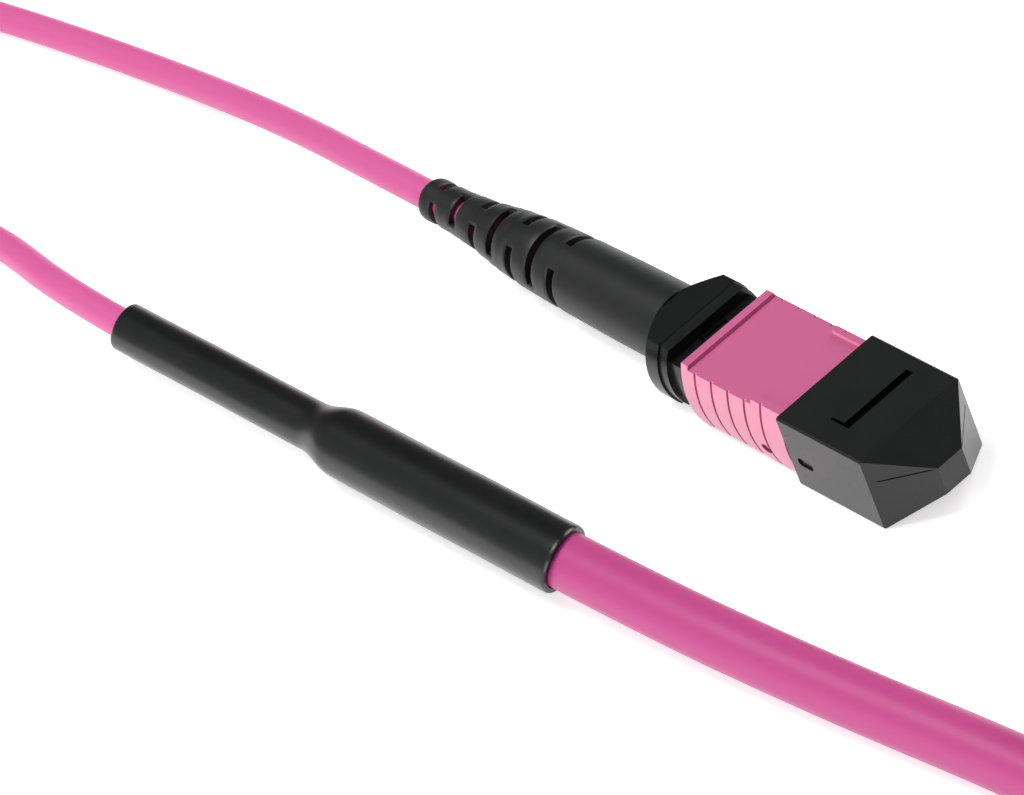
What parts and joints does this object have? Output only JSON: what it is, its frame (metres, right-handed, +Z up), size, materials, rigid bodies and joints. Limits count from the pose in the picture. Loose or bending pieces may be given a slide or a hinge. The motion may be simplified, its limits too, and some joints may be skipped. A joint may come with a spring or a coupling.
{
  "type": "multi-fibre push-on connector on a fan-out leg",
  "caption": "Multi-fibre push-on connector with dust cap, pull-back coupling sleeve and slotted boot, on a thin leg that joins a thicker trunk cable in a heat-shrunk sleeve.",
  "frame": {"origin": "under the middle of the connector, on the surface it lies on", "axes": "+X along the connector out of its mating face, +Z up, key side up"},
  "size_m": [0.2639, 0.0805, 0.0249],
  "materials": {
    "cap": "smooth moulded polyethylene, near black",
    "coupling": "satin moulded plastic, violet-pink, paler on its sides",
    "housing": "satin moulded plastic, near black",
    "ferrule": "glass-filled moulding, ground at its face",
    "pin": "ground stainless steel",
    "spring": "drawn spring wire",
    "crimp": "nickel-plated, dull",
    "seal": "soft rubber",
    "ribbon": "clear acrylate over coloured fibres",
    "yarn": "aramid yarn, straw yellow",
    "boot": "soft matt moulded rubber, near black",
    "jacket": "smooth violet-pink cable jacket",
    "shrink": "heat-shrunk polyolefin tube, black, soft satin",
    "former": "stiff moulded plastic",
    "end_seal": "heat-shrunk cap, black",
    "strap": "woven hook-and-loop strap, black"
  },
  "bodies": {
    "plug": {"inner_housing": "housing", "rear_housing": "housing", "aramid_yarn": "yarn", "crimp_ring": "crimp", "cable_jacket_end": "jacket", "strain_relief_boot": "boot", "main_spring": "spring", "coupling_spring_near": "spring", "coupling_spring_far": "spring", "leg_cable": "jacket", "transition_sleeve": "shrink", "transition_former": "former", "trunk_cable": "jacket", "trunk_coil": "jacket", "trunk_tail": "jacket", "trunk_end_cap": "end_seal", "coil_tie_front": "strap", "coil_tie_back": "strap"},
    "cap": {"dust_cap": "cap"},
    "sleeve": {"coupling_sleeve": "coupling"},
    "ferrule_group": {"ferrule": "ferrule", "guide_pin_near": "pin", "guide_pin_far": "pin", "pin_clamp": "ferrule", "ferrule_boot": "seal", "fibre_ribbon": "ribbon"}
  },
  "joints": [
    {"name": "cap_slide", "type": "slide", "parent": "plug", "child": "cap", "axis": [1, 0, 0], "range_m": [0, 0.012]},
    {"name": "sleeve_retract", "type": "slide", "parent": "plug", "child": "sleeve", "axis": [-1, 0, 0], "range_m": [0, 0.002], "stiffness_N_per_m": 1200, "springref_m": -0.0025, "deforming": ["coupling_spring_near", "coupling_spring_far"]},
    {"name": "ferrule_float", "type": "slide", "parent": "plug", "child": "ferrule_group", "axis": [-1, 0, 0], "range_m": [0, 0.0008], "stiffness_N_per_m": 2500, "springref_m": -0.003, "deforming": ["main_spring"]}
  ]
}
